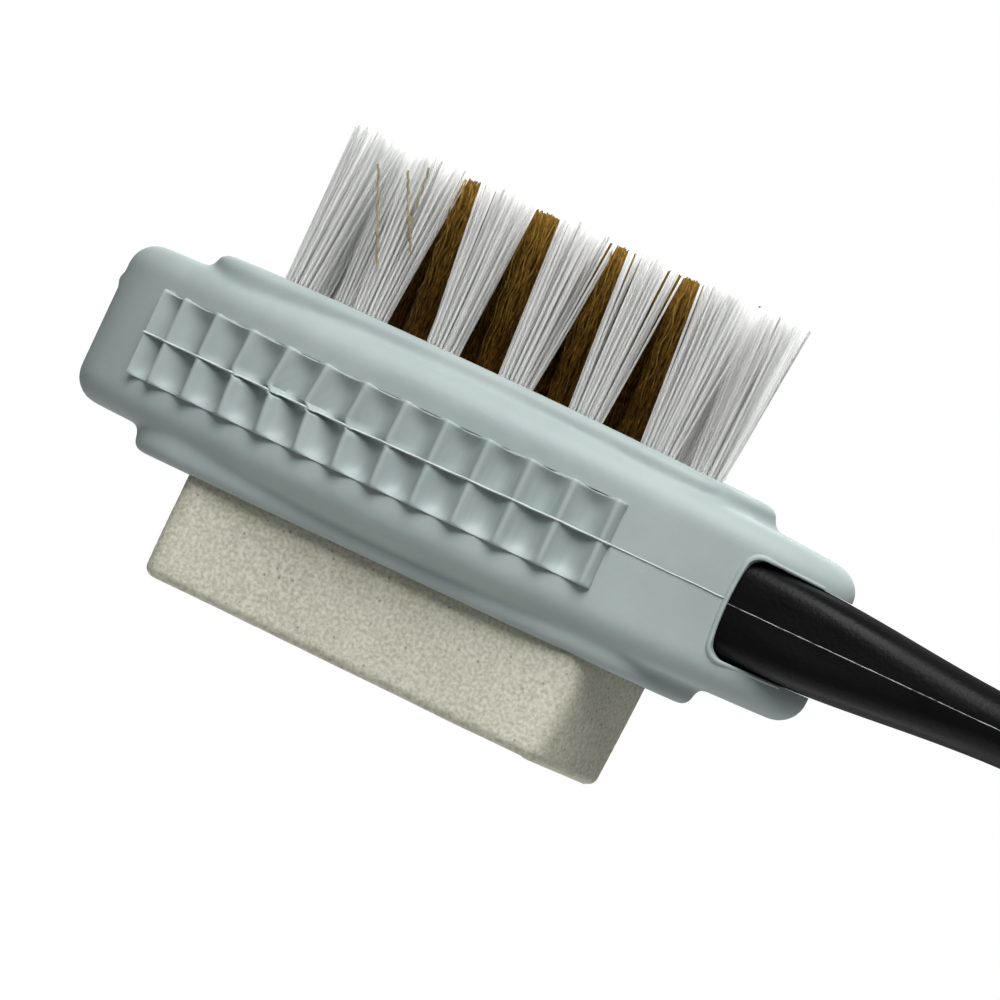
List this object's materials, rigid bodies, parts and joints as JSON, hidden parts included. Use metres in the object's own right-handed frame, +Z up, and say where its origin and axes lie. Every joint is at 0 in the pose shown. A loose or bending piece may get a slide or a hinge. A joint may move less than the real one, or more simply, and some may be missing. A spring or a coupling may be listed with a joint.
{
  "type": "cleaning brush",
  "caption": "Hand brush: rubber sleeve with ribbed sides on a tapered handle, nylon and brass bristle tufts above, a gritty eraser block below.",
  "frame": {"origin": "on the eraser block's flat bottom, on which the brush stands, under the handle axis, 1 mm short of the block's middle", "axes": "+X along the handle from the toe of the head to the hanging end, +Z up from the eraser to the bristle tips, Y across the depth"},
  "size_m": [0.1657, 0.0326, 0.0512],
  "materials": {
    "sleeve_rubber": "matt moulded grey rubber",
    "handle_plastic": "black, fine moulded texture",
    "eraser": "pale gritty rubber",
    "block_plastic": "white moulded",
    "nylon_filament": "clear to white filament",
    "brass_wire": "drawn, slightly crimped wire",
    "steel_strip": "flat strip"
  },
  "bodies": {
    "root": {"rubber_sleeve": "sleeve_rubber", "handle": "handle_plastic", "eraser_block": "eraser", "brush_block": "block_plastic", "nylon_tuft_row1_1": "nylon_filament", "nylon_tuft_row1_2": "nylon_filament", "nylon_tuft_row1_3": "nylon_filament", "nylon_tuft_row1_4": "nylon_filament", "nylon_tuft_row1_5": "nylon_filament", "nylon_tuft_row1_6": "nylon_filament", "nylon_tuft_row2_1": "nylon_filament", "brass_tuft_row2_2": "brass_wire", "brass_tuft_row2_3": "brass_wire", "brass_tuft_row2_4": "brass_wire", "brass_tuft_row2_5": "brass_wire", "nylon_tuft_row2_6": "nylon_filament", "nylon_tuft_row3_1": "nylon_filament", "brass_tuft_row3_2": "brass_wire", "brass_tuft_row3_3": "brass_wire", "brass_tuft_row3_4": "brass_wire", "brass_tuft_row3_5": "brass_wire", "nylon_tuft_row3_6": "nylon_filament", "nylon_tuft_row4_1": "nylon_filament", "nylon_tuft_row4_2": "nylon_filament", "nylon_tuft_row4_3": "nylon_filament", "nylon_tuft_row4_4": "nylon_filament", "nylon_tuft_row4_5": "nylon_filament", "tuft_anchor_row1_1": "steel_strip", "tuft_anchor_row1_2": "steel_strip", "tuft_anchor_row1_3": "steel_strip", "tuft_anchor_row1_4": "steel_strip", "tuft_anchor_row1_5": "steel_strip", "tuft_anchor_row1_6": "steel_strip", "tuft_anchor_row2_1": "steel_strip", "tuft_anchor_row2_2": "steel_strip", "tuft_anchor_row2_3": "steel_strip", "tuft_anchor_row2_4": "steel_strip", "tuft_anchor_row2_5": "steel_strip", "tuft_anchor_row2_6": "steel_strip", "tuft_anchor_row3_1": "steel_strip", "tuft_anchor_row3_2": "steel_strip", "tuft_anchor_row3_3": "steel_strip", "tuft_anchor_row3_4": "steel_strip", "tuft_anchor_row3_5": "steel_strip", "tuft_anchor_row3_6": "steel_strip", "tuft_anchor_row4_1": "steel_strip", "tuft_anchor_row4_2": "steel_strip", "tuft_anchor_row4_3": "steel_strip", "tuft_anchor_row4_4": "steel_strip", "tuft_anchor_row4_5": "steel_strip"}
  },
  "joints": []
}
